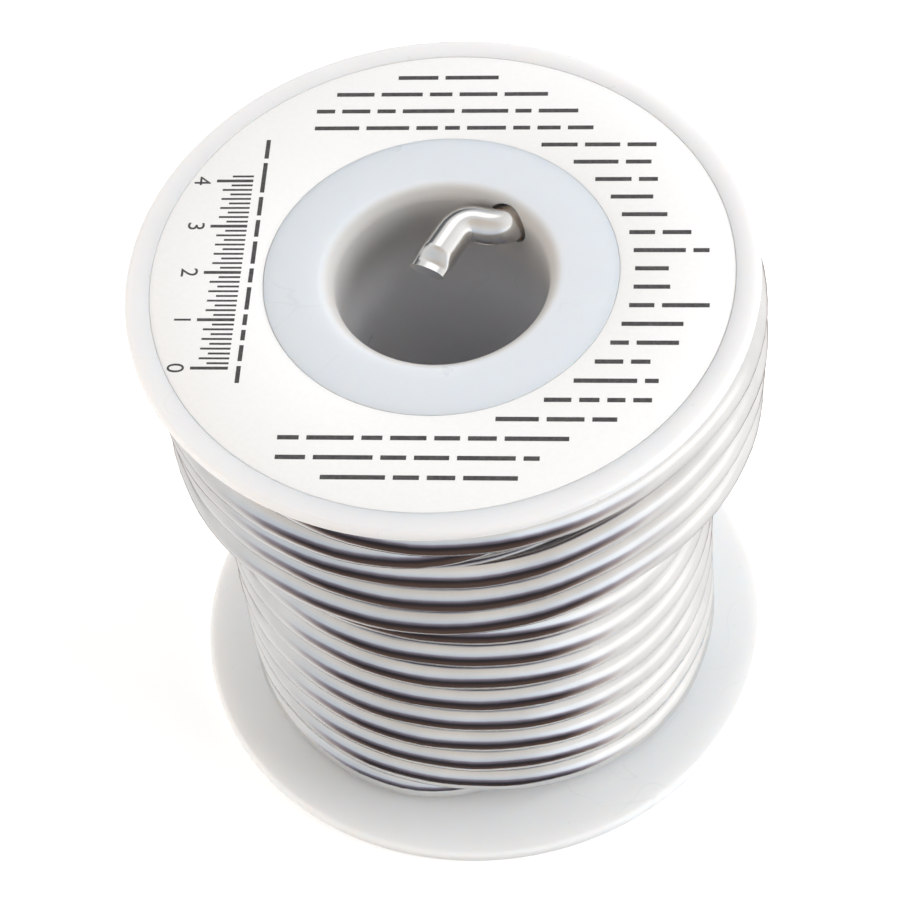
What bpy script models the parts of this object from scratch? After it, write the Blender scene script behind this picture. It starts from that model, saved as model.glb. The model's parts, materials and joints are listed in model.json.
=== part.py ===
"""A one-pound spool of solder wire, standing on its lower flange.

The spool is two moulded plastic halves, joined by a spigot and a socket at mid-height.  A paper
label is glued into a shallow recess in each flange.  One solid solder wire starts in the bore,
passes through a slanted hole in the hub and is wound on in layers.  The three buried layers are
plain rings here.  The visible turns are real wire, laid turn by turn.

Units are metres, +Z is up, and the spool's axis is the Z axis.  Angles round the axis are in
degrees, anticlockwise seen from above, and 0 is the front, which is the -Y side.  The wire is
wound clockwise, so its angle falls as it travels: back, right, front, left, back.
"""

from math import cos, floor, pi, radians, sin, sqrt

import bmesh
import bpy
from mathutils import Vector

MM = 0.001

# Spool
SPOOL_HEIGHT = 51.7 * MM
FLANGE_RADIUS = 26.2 * MM
FLANGE_THICKNESS = 1.2 * MM
RIM_ROUNDING = 0.45 * MM
BORE_RADIUS = 8.9 * MM
LIP_ROUNDING = 1.4 * MM
HUB_WALL = 1.5 * MM
SPIGOT_LENGTH = 4.0 * MM
SPIGOT_CLEARANCE = 0.2 * MM
HUB_RADIUS = BORE_RADIUS + HUB_WALL

# Labels, each in a recess in its flange
LABEL_TO_RIM = 2.1 * MM
LABEL_TO_BORE = 5.8 * MM
LABEL_OUTER_RADIUS = FLANGE_RADIUS - LABEL_TO_RIM
LABEL_INNER_RADIUS = BORE_RADIUS + LABEL_TO_BORE
LABEL_THICKNESS = 0.12 * MM
LABEL_RECESS = 0.22 * MM
LABEL_EDGE_CLEARANCE = 0.15 * MM
GLUE_LINE = 0.05 * MM

# Wire
WIRE_DIAMETER = 3.175 * MM
TURN_CLEARANCE = 0.05 * MM
RIDING_CLEARANCE = 0.15 * MM
RING_CLEARANCE = 0.15 * MM
LAYERS = 4
BURIED_START = 78.75
EMERGE_ANGLE = 18.0
EMERGE_SWEEP = 45.0
CUT_ANGLE = -168.0
UNDER_START = 100.0
LAST_END = 23.0
SQUEEZED_OUT = 0.4 * MM
SLIDE_START = -8.0
SLIDE_END = -100.0

# Start of the wire: a slanted hole through the upper hub wall, and the bent stub in the bore
HOLE_DIAMETER = 3.7 * MM
HOLE_ANGLE = 136.0
HOLE_DEPTH_IN_BORE = 2.4 * MM
HOLE_FALL = 0.8 * MM
STUB_DEPTH = 1.75 * MM
STUB_CLEARANCE = 0.3 * MM
STUB_LENGTH = 6.0 * MM
STUB_HEADING = 235.0
ELBOW_TURN = 1.5
BEND_TURN = 25.0
BEND_REACH = 1.8 * MM
PINCH_LENGTH = 1.8 * MM
PINCH_HEIGHT = 0.3
PINCH_WIDTH = 1.12

# The loose turns that ride on the full layers bulge out on the right, where they are slack
SLACK_ANGLE = 84.0
SLACK_SPREAD = 78.0
SLACK = {"top": 2.4 * MM, "second": 2.4 * MM, "third": 2.1 * MM, "fourth": 1.7 * MM}

# Smoothness of round shapes
ROUND_SEGMENTS = 48
WIRE_STEPS_PER_TURN = 32
BEND_STEPS = 5

COLLECTION = "solder_wire_spool"


# --- Scene and helpers -------------------------------------------------------------------------

def clear_scene():
    for obj in list(bpy.data.objects):
        bpy.data.objects.remove(obj, do_unlink=True)


def new_collection(name, helper=False):
    collection = bpy.data.collections.new(name)
    bpy.context.scene.collection.children.link(collection)
    collection.hide_render = helper
    return collection


def material(name, colour, roughness, metallic=0.0):
    made = bpy.data.materials.new(name)
    made.use_nodes = True
    shader = made.node_tree.nodes["Principled BSDF"]
    shader.inputs["Base Color"].default_value = (*colour, 1.0)
    shader.inputs["Roughness"].default_value = roughness
    shader.inputs["Metallic"].default_value = metallic
    return made


def arc(centre_r, centre_z, radius, start, end, steps):
    """Points of an arc in the radius-height plane, from angle start to angle end in degrees."""
    points = []
    for step in range(steps + 1):
        angle = radians(start + (end - start) * step / steps)
        points.append((centre_r + radius * cos(angle), centre_z + radius * sin(angle)))
    return points


def turned(name, profile, look, collection):
    """A closed profile of (radius, height) points, turned once round the Z axis."""
    mesh = bpy.data.meshes.new(name)
    shape = bmesh.new()
    points = [shape.verts.new((r, 0.0, z)) for r, z in profile]
    for index, point in enumerate(points):
        shape.edges.new((point, points[(index + 1) % len(points)]))
    shape.to_mesh(mesh)
    shape.free()
    mesh.materials.append(look)
    obj = bpy.data.objects.new(name, mesh)
    collection.objects.link(obj)
    screw = obj.modifiers.new("turn", "SCREW")
    screw.steps = ROUND_SEGMENTS
    screw.render_steps = ROUND_SEGMENTS
    screw.use_merge_vertices = True
    screw.merge_threshold = 0.00001
    return obj


def bake_smooth(obj):
    """Turns the modifiers' result into the object's own mesh, smooth but for its sharp edges."""
    bpy.context.view_layer.update()
    graph = bpy.context.evaluated_depsgraph_get()
    obj.data = bpy.data.meshes.new_from_object(obj.evaluated_get(graph))
    obj.modifiers.clear()
    obj.data.shade_smooth()
    obj.data.set_sharp_from_angle(angle=radians(35))
    return obj


def ring(name, inner, outer, bottom, top, look, collection):
    profile = [(inner, top), (outer, top), (outer, bottom), (inner, bottom)]
    return bake_smooth(turned(name, profile, look, collection))


def wire(name, points, look, collection, sides_level=2):
    """A round wire through the points, with closed ends."""
    curve = bpy.data.curves.new(name, "CURVE")
    curve.dimensions = "3D"
    curve.bevel_depth = WIRE_DIAMETER / 2
    curve.bevel_resolution = sides_level
    curve.use_fill_caps = True
    spline = curve.splines.new("POLY")
    spline.points.add(len(points) - 1)
    for knot, point in zip(spline.points, points):
        knot.co = (*point, 1.0)
    curve.materials.append(look)
    obj = bpy.data.objects.new(name, curve)
    collection.objects.link(obj)
    return obj


# --- Spool halves ------------------------------------------------------------------------------

def flange_contour():
    """(radius, depth) points over one flange, from the bore's lip to the root of the hub.

    Depth is measured inwards from the flange's outer face.
    """
    recess_inner = LABEL_INNER_RADIUS - LABEL_EDGE_CLEARANCE
    recess_outer = LABEL_OUTER_RADIUS + LABEL_EDGE_CLEARANCE
    rim_centre = FLANGE_RADIUS - RIM_ROUNDING
    lip = arc(BORE_RADIUS + LIP_ROUNDING, LIP_ROUNDING, LIP_ROUNDING, 180, 270, 5)
    recess = [(recess_inner, 0.0), (recess_inner, LABEL_RECESS)]
    recess += [(recess_outer, LABEL_RECESS), (recess_outer, 0.0)]
    rim = arc(rim_centre, RIM_ROUNDING, RIM_ROUNDING, 270, 360, 3)
    rim += arc(rim_centre, FLANGE_THICKNESS - RIM_ROUNDING, RIM_ROUNDING, 0, 90, 3)
    return lip + recess + rim + [(HUB_RADIUS, FLANGE_THICKNESS)]


def half_joint():
    """The sizes that the two halves share where they meet: middle, shoulder gap and radii."""
    middle = SPOOL_HEIGHT / 2
    half_gap = SPIGOT_CLEARANCE / 2
    spigot_radius = BORE_RADIUS + (HUB_WALL - SPIGOT_CLEARANCE) / 2
    return middle, half_gap, spigot_radius


def upper_half(look, collection, cutters):
    middle, half_gap, spigot_radius = half_joint()
    profile = [(r, SPOOL_HEIGHT - depth) for r, depth in flange_contour()]
    profile += [(HUB_RADIUS, middle + half_gap), (spigot_radius, middle + half_gap)]
    profile += [(spigot_radius, middle - SPIGOT_LENGTH), (BORE_RADIUS, middle - SPIGOT_LENGTH)]
    obj = turned("upper_spool_half", profile, look, collection)
    drill = start_hole_cutter(cutters)
    cut = obj.modifiers.new("start_hole", "BOOLEAN")
    cut.operation = "DIFFERENCE"
    cut.object = drill
    return bake_smooth(obj)


def lower_half(look, collection):
    middle, half_gap, spigot_radius = half_joint()
    socket_radius = spigot_radius + SPIGOT_CLEARANCE
    socket_floor = middle - SPIGOT_LENGTH - SPIGOT_CLEARANCE
    profile = [(BORE_RADIUS, socket_floor), (socket_radius, socket_floor)]
    profile += [(socket_radius, middle - half_gap), (HUB_RADIUS, middle - half_gap)]
    profile += [(r, depth) for r, depth in reversed(flange_contour())]
    return bake_smooth(turned("lower_spool_half", profile, look, collection))


def around(angle, radius, height):
    """The point at an angle round the axis, a radius and a height."""
    turn = radians(angle)
    return Vector((radius * sin(turn), -radius * cos(turn), height))


def start_hole_axis():
    """The hole's axis where it meets the bore and where it meets the hub's outside."""
    in_bore = around(HOLE_ANGLE, BORE_RADIUS, SPOOL_HEIGHT - HOLE_DEPTH_IN_BORE)
    outside = around(HOLE_ANGLE, HUB_RADIUS, SPOOL_HEIGHT - HOLE_DEPTH_IN_BORE - HOLE_FALL)
    return in_bore, outside


def start_hole_cutter(collection):
    in_bore, outside = start_hole_axis()
    along = (outside - in_bore).normalized()
    bpy.ops.mesh.primitive_cylinder_add(
        vertices=20, radius=HOLE_DIAMETER / 2, depth=3 * HUB_WALL, location=(in_bore + outside) / 2
    )
    obj = bpy.context.object
    obj.name = "start_hole_cutter"
    obj.rotation_mode = "QUATERNION"
    obj.rotation_quaternion = along.to_track_quat("Z", "Y")
    obj.display_type = "WIRE"
    obj.hide_render = True
    for owner in list(obj.users_collection):
        owner.objects.unlink(obj)
    collection.objects.link(obj)
    return obj


# --- Labels ------------------------------------------------------------------------------------

def labels(look, collection):
    seat = LABEL_RECESS - GLUE_LINE
    top = SPOOL_HEIGHT - seat + LABEL_THICKNESS
    ring("upper_label", LABEL_INNER_RADIUS, LABEL_OUTER_RADIUS, top - LABEL_THICKNESS, top, look,
         collection)
    bottom = seat - LABEL_THICKNESS
    ring("lower_label", LABEL_INNER_RADIUS, LABEL_OUTER_RADIUS, bottom, bottom + LABEL_THICKNESS,
         look, collection)


# --- Winding -----------------------------------------------------------------------------------

LOWEST_TURN = FLANGE_THICKNESS + TURN_CLEARANCE + WIRE_DIAMETER / 2
HIGHEST_TURN = SPOOL_HEIGHT - LOWEST_TURN
SEAT_DISTANCE = WIRE_DIAMETER + TURN_CLEARANCE
TURNS = floor((HIGHEST_TURN - LOWEST_TURN) / (SEAT_DISTANCE * 1.02)) + 1
LAST = TURNS - 1


def slot_heights():
    """Heights of the outer full layer's turns: tight at the bottom, looser towards the top."""
    spare = (HIGHEST_TURN - LOWEST_TURN) - LAST * SEAT_DISTANCE
    loosening = spare / sum(range(LAST))
    heights = [LOWEST_TURN]
    for interval in range(LAST):
        heights.append(heights[-1] + SEAT_DISTANCE + loosening * interval)
    return heights


def layer_radius(layer):
    """Radius of a layer's wire centres. Each layer nests in the grooves of the one below."""
    even_pitch = (HIGHEST_TURN - LOWEST_TURN) / LAST
    step = sqrt(SEAT_DISTANCE ** 2 - (even_pitch / 2) ** 2)
    return HUB_RADIUS + TURN_CLEARANCE + WIRE_DIAMETER / 2 + (layer - 1) * step


SLOTS = slot_heights()
OUTER_RADIUS = layer_radius(LAYERS)
BURIED_RADIUS = OUTER_RADIUS - SEAT_DISTANCE


def moved(angle, begin, end):
    """Share of a sideways move that is done at this angle, from 0 at begin to 1 at end."""
    share = min(max((begin - angle) / (begin - end), 0.0), 1.0)
    return share * share * (3 - 2 * share)


def between(low, high, share):
    return low + (high - low) * share


def groove(slot):
    """Height of the groove between a slot's turn and the one above it."""
    return (SLOTS[slot] + SLOTS[slot + 1]) / 2


def rising_turn(turn, angle):
    """Height of an outer-layer turn, which moves up one slot as it crosses the front.

    Near the top each move comes a little later than the one below it, as the wire above gets in
    its way.
    """
    delay = 4.0 * min(max(turn - (LAST - 5), 0), 3)
    begin = 50.0 - delay
    end = -20.0 - delay
    return between(SLOTS[turn - 1], SLOTS[turn], moved(angle, begin, end))


def seated(height, supports, slack=0.0):
    """(radius, height) of a turn that rests on the turns below it, which are given the same way."""
    radius = OUTER_RADIUS
    for under_radius, under_height in supports:
        reach = (WIRE_DIAMETER + RIDING_CLEARANCE) ** 2 - (height - under_height) ** 2
        if reach > 0:
            radius = max(radius, under_radius + sqrt(reach))
    return radius + slack, height


def slack_at(angle, turn):
    """How far a loose turn stands off at this angle."""
    away = abs((angle - SLACK_ANGLE + 180) % 360 - 180) / SLACK_SPREAD
    return SLACK[turn] * cos(min(away, 1.0) * pi / 2) ** 2


def section_at(angle):
    """(radius, height) of each turn where the winding is cut at this angle, by name.

    The numbered turns make the outer full layer. The wire then leaves the layer as "second", and
    comes round again below it as "third" and "fourth". The piled strand starts in the layer as
    "under", is squeezed out at the front below the top turn, comes round again as "top", and
    slides in beside the upper flange to end in the layer as "last". Where the piled strand is out
    at the front, it presses the riding turns down until they lie one wire's width apart.
    """
    laid = {turn: (OUTER_RADIUS, rising_turn(turn, angle)) for turn in range(1, LAST)}
    if angle >= LAST_END:
        laid["last"] = (OUTER_RADIUS, SLOTS[LAST])
    full_layer = list(laid.values())
    slid = moved(angle, SLIDE_START, SLIDE_END)
    rising_back = moved(angle, SLIDE_END, -150)
    squeezed = moved(angle, 45, 0) * (1 - moved(angle, -130, -178))
    pressed = [SLOTS[LAST] - place * SEAT_DISTANCE for place in range(5)]

    third = between(groove(LAST - 2), groove(LAST - 3), moved(angle, 178, 115))
    third = between(third, pressed[3], squeezed)
    laid["third"] = seated(third, full_layer, slack_at(angle, "third"))
    beside_third = groove(LAST - 3) - WIRE_DIAMETER - RIDING_CLEARANCE
    fourth = between(groove(LAST - 3), beside_third, moved(angle, 178, 115))
    fourth = between(fourth, pressed[4], squeezed)
    laid["fourth"] = seated(fourth, full_layer, slack_at(angle, "fourth"))

    under = between(SLOTS[LAST - 1], pressed[1], squeezed if angle > SLIDE_END else 1.0)
    under = between(under, groove(LAST - 1), rising_back)
    in_place = [(OUTER_RADIUS, SLOTS[LAST])] if rising_back > 0 else []
    laid["under"] = seated(under, full_layer + in_place, SQUEEZED_OUT * squeezed * (1 - slid))
    second = between(SLOTS[LAST - 1], groove(LAST - 2), moved(angle, 175, UNDER_START))
    second = between(second, pressed[2], squeezed)
    laid["second"] = seated(second, full_layer, slack_at(angle, "second"))
    below_top = laid["second" if angle > UNDER_START else "under"]
    top = between(groove(LAST - 1), SLOTS[LAST], moved(angle, 24, -6))
    top_radius, top = seated(top, full_layer + [below_top], slack_at(angle, "top"))
    laid["top"] = (between(top_radius, OUTER_RADIUS, slid), top)
    if angle > UNDER_START:
        del laid["under"]
    return laid


def angles(begin=180.0, end=-180.0):
    """The winding's even steps from begin down to end, with both ends."""
    step = 360 / WIRE_STEPS_PER_TURN
    inner = [180 - step * index for index in range(WIRE_STEPS_PER_TURN + 1)]
    return [begin] + [angle for angle in inner if end < angle < begin] + [end]


def follow(turn, begin=180.0, end=-180.0):
    """Points along one named turn."""
    return [around(angle, *section_at(angle)[turn]) for angle in angles(begin, end)]


def joined(*stretches):
    """Stretches of one wire, end to end, with the shared end points given once."""
    points = list(stretches[0])
    for stretch in stretches[1:]:
        points += stretch[1:]
    return points


def start_of_outer_layer():
    """The wire coming up at the bottom from under the first outer turn."""
    points = []
    for angle in angles(BURIED_START, -180.0):
        climb = moved(angle, EMERGE_ANGLE, EMERGE_ANGLE - EMERGE_SWEEP)
        points.append(around(angle, between(BURIED_RADIUS, OUTER_RADIUS, climb), SLOTS[0]))
    return points


def outer_winding(look, collection):
    stretches = [start_of_outer_layer()]
    stretches += [follow(turn) for turn in range(1, LAST)]
    stretches += [follow("second"), follow("third"), follow("fourth", end=CUT_ANGLE)]
    wire("solder_outer_winding", joined(*stretches), look, collection)


def piled_turns(look, collection):
    stretches = [follow("under", begin=UNDER_START), follow("top")]
    stretches.append(follow("last", end=LAST_END))
    wire("solder_piled_turns", joined(*stretches), look, collection)


def inner_layers(look, collection):
    """The three buried layers, each as a plain ring of the space that it fills.

    All but the first stop short of the lower flange, where the wire comes out from under them.
    """
    inner = HUB_RADIUS + RING_CLEARANCE
    outer = (OUTER_RADIUS - WIRE_DIAMETER / 2) * cos(pi / WIRE_STEPS_PER_TURN) - RING_CLEARANCE
    layers = LAYERS - 1
    thickness = (outer - inner - (layers - 1) * RING_CLEARANCE) / layers
    bottom = FLANGE_THICKNESS + RING_CLEARANCE
    top = SPOOL_HEIGHT - bottom
    for layer in range(layers):
        start = inner + layer * (thickness + RING_CLEARANCE)
        if layer == 1:
            bottom += WIRE_DIAMETER + RING_CLEARANCE
        name = "solder_layer_%d" % (layer + 1)
        ring(name, start, start + thickness, bottom, top, look, collection)


# --- Start of the wire -------------------------------------------------------------------------

def rounded_corners(points, reach):
    """The points with each inner corner replaced by a smooth bend."""
    path = [points[0]]
    for before, corner, after in zip(points, points[1:], points[2:]):
        inward = (before - corner) * min(reach / (before - corner).length, 0.5)
        outward = (after - corner) * min(reach / (after - corner).length, 0.5)
        for step in range(BEND_STEPS + 1):
            share = step / BEND_STEPS
            path.append(corner + inward * (1 - share) ** 2 + outward * share ** 2)
    path.append(points[-1])
    return path


def start_tail(look, collection):
    """The first few millimetres of the wire: through the hole, bent round, nipped off flat."""
    in_bore, outside = start_hole_axis()
    along = (outside - in_bore).normalized()
    tilt_reach = WIRE_DIAMETER / 2 * HOLE_FALL / HUB_WALL
    begin = in_bore + along * (HUB_WALL - tilt_reach)
    stub_height = SPOOL_HEIGHT - STUB_DEPTH
    bend_radius = BORE_RADIUS - WIRE_DIAMETER / 2 - STUB_CLEARANCE
    bend = around(HOLE_ANGLE + BEND_TURN, bend_radius, stub_height)
    elbow_radius = BORE_RADIUS - WIRE_DIAMETER / 2 + STUB_CLEARANCE
    elbow_height = SPOOL_HEIGHT - (STUB_DEPTH + HOLE_DEPTH_IN_BORE) / 2
    elbow = around(HOLE_ANGLE + ELBOW_TURN, elbow_radius, elbow_height)
    heading = radians(STUB_HEADING)
    last_run = Vector((cos(heading), sin(heading), 0.0))
    tip = bend + last_run * STUB_LENGTH
    path = rounded_corners([begin, elbow, bend, tip], BEND_REACH)
    path.pop()
    for share in (1.0, 0.75, 0.5, 0.25, 0.0):
        path.append(tip - last_run * PINCH_LENGTH * share)
    guide = wire("start_guide", path, look, collection, sides_level=4)
    bpy.context.view_layer.update()
    graph = bpy.context.evaluated_depsgraph_get()
    mesh = bpy.data.meshes.new_from_object(guide.evaluated_get(graph))
    bpy.data.objects.remove(guide, do_unlink=True)
    shape = bmesh.new()
    shape.from_mesh(mesh)
    bmesh.ops.remove_doubles(shape, verts=shape.verts, dist=0.00001)
    flatten_tip(shape, tip, last_run)
    shape.to_mesh(mesh)
    shape.free()
    mesh.set_sharp_from_angle(angle=radians(50))
    obj = bpy.data.objects.new("solder_start_tail", mesh)
    collection.objects.link(obj)


def flatten_tip(shape, tip, along):
    """Squeezes the last stretch flat from above and below, and wider across."""
    across = Vector((-along.y, along.x, 0.0))
    for vert in shape.verts:
        from_tip = (tip - vert.co).dot(along)
        if from_tip < PINCH_LENGTH:
            squeeze = (1 - from_tip / PINCH_LENGTH) ** 1.5
            centre = tip - along * from_tip
            sideways = (vert.co - centre).dot(across) * between(1.0, PINCH_WIDTH, squeeze)
            upwards = (vert.co.z - centre.z) * between(1.0, PINCH_HEIGHT, squeeze)
            vert.co = centre + across * sideways + Vector((0.0, 0.0, upwards))


# --- Build -------------------------------------------------------------------------------------

def build():
    clear_scene()
    parts = new_collection(COLLECTION)
    cutters = new_collection("cutters", helper=True)
    plastic = material("white_plastic", (0.80, 0.81, 0.83), 0.35)
    paper = material("label_paper", (0.92, 0.92, 0.92), 0.6)
    solder = material("solder", (0.72, 0.72, 0.74), 0.22, metallic=1.0)
    upper_half(plastic, parts, cutters)
    lower_half(plastic, parts)
    labels(paper, parts)
    inner_layers(solder, parts)
    outer_winding(solder, parts)
    piled_turns(solder, parts)
    start_tail(solder, parts)


build()
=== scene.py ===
# %% [markdown]
# # A spool of thick solder wire
# A small white plastic spool stands on its lower flange. It carries four layers of bright solder
# wire, a little over three millimetres thick, and a paper label lies in a shallow recess on each
# end. The measured body comes first: every size below is read from it or is a size of the real
# thing, and everything that shows is then modelled finer around it. Lengths are in metres, +Z is
# up, and the spool's axis is the Z axis.

import json
from math import cos, floor, pi, radians, sin, sqrt, tau
from random import Random

import bmesh
import bpy
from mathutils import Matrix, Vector

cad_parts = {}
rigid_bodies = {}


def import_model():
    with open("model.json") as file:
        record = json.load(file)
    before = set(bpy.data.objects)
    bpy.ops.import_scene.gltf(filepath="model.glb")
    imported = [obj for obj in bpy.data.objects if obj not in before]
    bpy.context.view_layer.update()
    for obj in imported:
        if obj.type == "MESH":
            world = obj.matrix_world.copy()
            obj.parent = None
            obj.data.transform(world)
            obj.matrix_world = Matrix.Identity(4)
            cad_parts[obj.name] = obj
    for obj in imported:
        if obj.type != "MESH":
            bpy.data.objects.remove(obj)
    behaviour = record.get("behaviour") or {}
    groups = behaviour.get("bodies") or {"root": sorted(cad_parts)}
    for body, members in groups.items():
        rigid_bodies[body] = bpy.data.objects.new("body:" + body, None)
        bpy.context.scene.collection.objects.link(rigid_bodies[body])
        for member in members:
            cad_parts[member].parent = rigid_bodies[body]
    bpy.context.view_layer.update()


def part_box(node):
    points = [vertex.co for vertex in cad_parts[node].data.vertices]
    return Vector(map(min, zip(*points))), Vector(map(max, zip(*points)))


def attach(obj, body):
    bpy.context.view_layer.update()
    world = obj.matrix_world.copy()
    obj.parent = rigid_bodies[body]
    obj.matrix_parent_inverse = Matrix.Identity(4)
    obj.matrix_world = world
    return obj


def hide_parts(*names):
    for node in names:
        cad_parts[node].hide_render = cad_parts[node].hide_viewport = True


for leftover in list(bpy.data.objects):
    bpy.data.objects.remove(leftover)
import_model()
MM = 0.001

# %% [markdown]
# ## Camera
# The spool is seen from the front and from above, with a long lens, so that the two flanges keep
# nearly their true shapes. The camera is rolled a little, so the spool leans in the frame.

# %% Camera
CAMERA_PLACE = (0.0, -0.16778, 0.25217)
CAMERA_TURN = (36.4957, 4.5318, -5.6919)
CAMERA_LENS = 127.36

bpy.ops.object.camera_add(
    location=CAMERA_PLACE, rotation=[radians(angle) for angle in CAMERA_TURN]
)
camera = bpy.context.object
camera.name = "Camera"
camera.data.lens = CAMERA_LENS
camera.data.clip_start = 0.01
bpy.context.scene.camera = camera
print("camera at", CAMERA_PLACE, "with a lens of", CAMERA_LENS, "mm")

# %% [markdown]
# ## Sizes that the pieces share
# The body gives the height, the radius and the places of the labels. Other sizes can't be read
# from a box, so they are written down here, as on a drawing.

# %% Shared sizes
upper_low, upper_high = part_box("upper_spool_half")
SPOOL_HEIGHT = upper_high.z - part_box("lower_spool_half")[0].z
FLANGE_RADIUS = (upper_high.x - upper_low.x) / 2
FLANGE_THICKNESS = 1.2 * MM
RIM_ROUNDING = 0.45 * MM
BORE_RADIUS = 8.9 * MM
HUB_RADIUS = 10.4 * MM
LIP_ROUNDING = 1.4 * MM
LABEL_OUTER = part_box("upper_label")[1].x
LABEL_INNER = 14.7 * MM
LABEL_RECESS = 0.22 * MM
LABEL_GAP = 0.04 * MM
WIRE_DIAMETER = 3.175 * MM
WIRE_RADIUS = WIRE_DIAMETER / 2
print("height and flange radius in mm:", round(SPOOL_HEIGHT / MM, 2), round(FLANGE_RADIUS / MM, 2))

# %% [markdown]
# ## Selecting before modelling
# Blender's operators act on whatever is selected, and loading the body leaves it selected. So
# each step starts by clearing the selection, and picks its own faces and edges.

# %% Helpers for selecting
SAME_POINT = 0.001 * MM


def clear_selection():
    bpy.ops.object.select_all(action="DESELECT")


def take(*objects):
    """Selects only these objects, and makes the first one active."""
    clear_selection()
    for obj in objects:
        obj.select_set(True)
    bpy.context.view_layer.objects.active = objects[0]


def edit():
    bpy.ops.object.mode_set(mode="EDIT")


def finish_edit():
    bpy.ops.object.mode_set(mode="OBJECT")


def pick_all():
    bpy.ops.mesh.select_all(action="SELECT")


def pick_points(obj, chosen):
    """In edit mode, selects the points of a mesh for which chosen(place) is true."""
    bpy.ops.mesh.select_mode(type="VERT")
    bpy.ops.mesh.select_all(action="DESELECT")
    shape = bmesh.from_edit_mesh(obj.data)
    found = [point for point in shape.verts if chosen(point.co)]
    for point in found:
        point.select_set(True)
    shape.select_flush(True)
    bmesh.update_edit_mesh(obj.data)
    return len(found)


def close_skin(distance=SAME_POINT):
    """In edit mode, merges points that lie on each other and turns every face outwards."""
    pick_all()
    bpy.ops.mesh.remove_doubles(threshold=distance)
    bpy.ops.mesh.normals_make_consistent(inside=False)


def soft_but_for_edges(obj, angle=35.0):
    take(obj)
    bpy.ops.object.shade_smooth_by_angle(angle=radians(angle))


def put_in_place(obj):
    """Moves an object's place, turn and scale into its mesh."""
    take(obj)
    bpy.ops.object.transform_apply(location=True, rotation=True, scale=True)


print("selecting helpers ready")

# %% [markdown]
# ## Turning a section round the axis
# A spool half and a label are both bodies of revolution: one section, turned round the axis. One
# point is extruded along the section, the section is closed, and Spin carries it once round.
# Ready-made cylinders would not give the lip, the recess and the rim in one closed skin.

# %% Spin helper
SPIN_STEPS = 192


def arc(centre_r, centre_z, radius, start, end, steps):
    """Points of an arc in the section, from angle start to angle end in degrees."""
    points = []
    for step in range(steps + 1):
        angle = radians(start + (end - start) * step / steps)
        points.append((centre_r + radius * cos(angle), centre_z + radius * sin(angle)))
    return points


def spun(name, section):
    """A closed section of (radius, height) points, drawn by extruding a point and then spun."""
    clear_selection()
    ends = [Vector((r, 0.0, z)) for r, z in (section[0], section[-1])]
    bpy.ops.mesh.primitive_plane_add(size=MM, location=ends[0])
    obj = bpy.context.object
    obj.name = obj.data.name = name
    put_in_place(obj)
    edit()
    bpy.ops.mesh.select_mode(type="VERT")
    pick_all()
    bpy.ops.mesh.merge(type="CENTER")
    for (r, z), (next_r, next_z) in zip(section, section[1:]):
        step = (next_r - r, 0.0, next_z - z)
        bpy.ops.mesh.extrude_region_move(TRANSFORM_OT_translate={"value": step})
    pick_points(obj, lambda place: min((place - end).length for end in ends) < SAME_POINT)
    bpy.ops.mesh.edge_face_add()
    pick_all()
    bpy.ops.mesh.spin(steps=SPIN_STEPS, angle=tau, center=(0, 0, 0), axis=(0, 0, 1))
    close_skin()
    finish_edit()
    soft_but_for_edges(obj)
    return obj


print("spun in", SPIN_STEPS, "steps")

# %% [markdown]
# ## The two spool halves
# The spool is moulded in two halves. Each has a flange and half of the hub, and the upper half's
# spigot pushes into a socket in the lower one. The flange has a rounded rim, a shallow recess for
# the label, and a wide soft lip at the bore. That lip catches the light, so it gets more points.

# %% Sections of the halves
MIDDLE = SPOOL_HEIGHT / 2
SHOULDER_GAP = 0.1 * MM
SPIGOT_RADIUS = BORE_RADIUS + 0.65 * MM
SPIGOT_GAP = 0.2 * MM
SPIGOT_LENGTH = 4.0 * MM
ROOT_FILLET = 0.5 * MM
RECESS_EASE = 0.06 * MM


def flange_section():
    """(radius, depth) points over a flange, from the bore's lip to the root of the hub."""
    inner, outer, ease = LABEL_INNER - LABEL_GAP, LABEL_OUTER + LABEL_GAP, RECESS_EASE
    rim = FLANGE_RADIUS - RIM_ROUNDING
    points = arc(BORE_RADIUS + LIP_ROUNDING, LIP_ROUNDING, LIP_ROUNDING, 180, 270, 12)
    points += arc(inner - ease, ease, ease, 270, 360, 3)
    points += [(inner, LABEL_RECESS), (outer, LABEL_RECESS)]
    points += arc(outer + ease, ease, ease, 180, 270, 3)
    points += arc(rim, RIM_ROUNDING, RIM_ROUNDING, 270, 360, 7)
    points += arc(rim, FLANGE_THICKNESS - RIM_ROUNDING, RIM_ROUNDING, 0, 90, 7)
    root_r, root_z = HUB_RADIUS + ROOT_FILLET, FLANGE_THICKNESS + ROOT_FILLET
    return points + arc(root_r, root_z, ROOT_FILLET, 270, 180, 4)


spigot_end, shoulder = MIDDLE - SPIGOT_LENGTH, MIDDLE + SHOULDER_GAP
upper_section = [(r, SPOOL_HEIGHT - depth) for r, depth in flange_section()]
upper_section += [(HUB_RADIUS, shoulder), (SPIGOT_RADIUS, shoulder)]
upper_section += [(SPIGOT_RADIUS, spigot_end), (BORE_RADIUS, spigot_end)]
socket_r, socket_z = SPIGOT_RADIUS + SPIGOT_GAP, MIDDLE - SPIGOT_LENGTH - SPIGOT_GAP
shoulder = MIDDLE - SHOULDER_GAP
lower_section = [(BORE_RADIUS, socket_z), (socket_r, socket_z), (socket_r, shoulder)]
lower_section += [(HUB_RADIUS, shoulder)] + flange_section()[::-1]
upper_half = spun("white_upper_half", upper_section)
lower_half = spun("white_lower_half", lower_section)
print("halves:", len(upper_half.data.polygons), "and", len(lower_half.data.polygons), "faces")

# %% [markdown]
# ## The hole where the wire starts
# Before winding, the wire is pushed through a slanted hole in the wall of the hub, so that it
# can't slip round. A cylinder stands along the drill's axis and a Boolean takes it away. Angles
# round the spool start at the front and run anticlockwise seen from above.

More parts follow.
